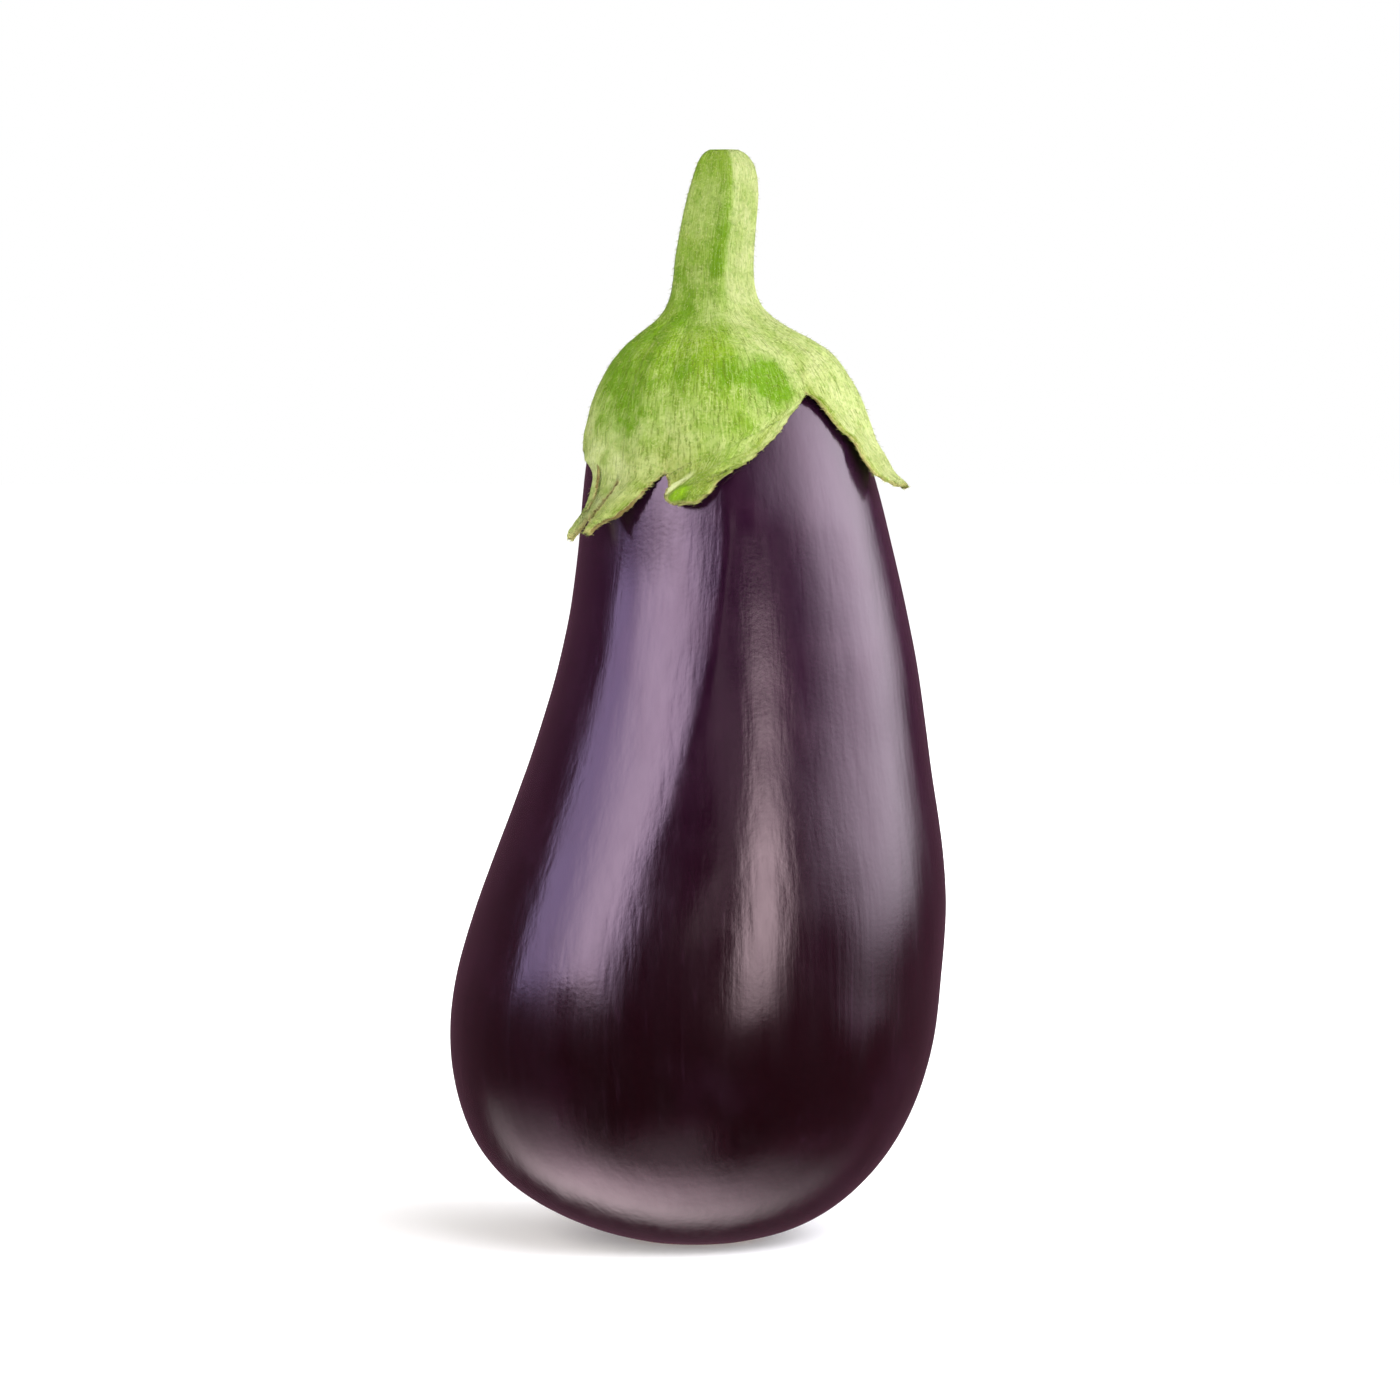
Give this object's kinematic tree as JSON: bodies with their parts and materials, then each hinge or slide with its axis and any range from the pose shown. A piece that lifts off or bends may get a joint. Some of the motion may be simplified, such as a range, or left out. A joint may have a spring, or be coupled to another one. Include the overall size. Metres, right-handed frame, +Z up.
{
  "type": "globe eggplant",
  "caption": "Pear-shaped globe eggplant with dark purple glossy skin, standing on the flat spot at its blossom end, with a lobed green calyx clasping its shoulder and a cut stem.",
  "frame": {"origin": "centre of the flat spot at the blossom end, which the fruit stands on", "axes": "+Z up from the flat spot to the stem, -Y towards the pictured front, +X to the right of that view"},
  "size_m": [0.0996, 0.0957, 0.2179],
  "materials": {
    "skin": "gloss",
    "green": "matte"
  },
  "bodies": {
    "root": {"fruit": "skin", "cap_and_stem": "green"}
  },
  "joints": []
}
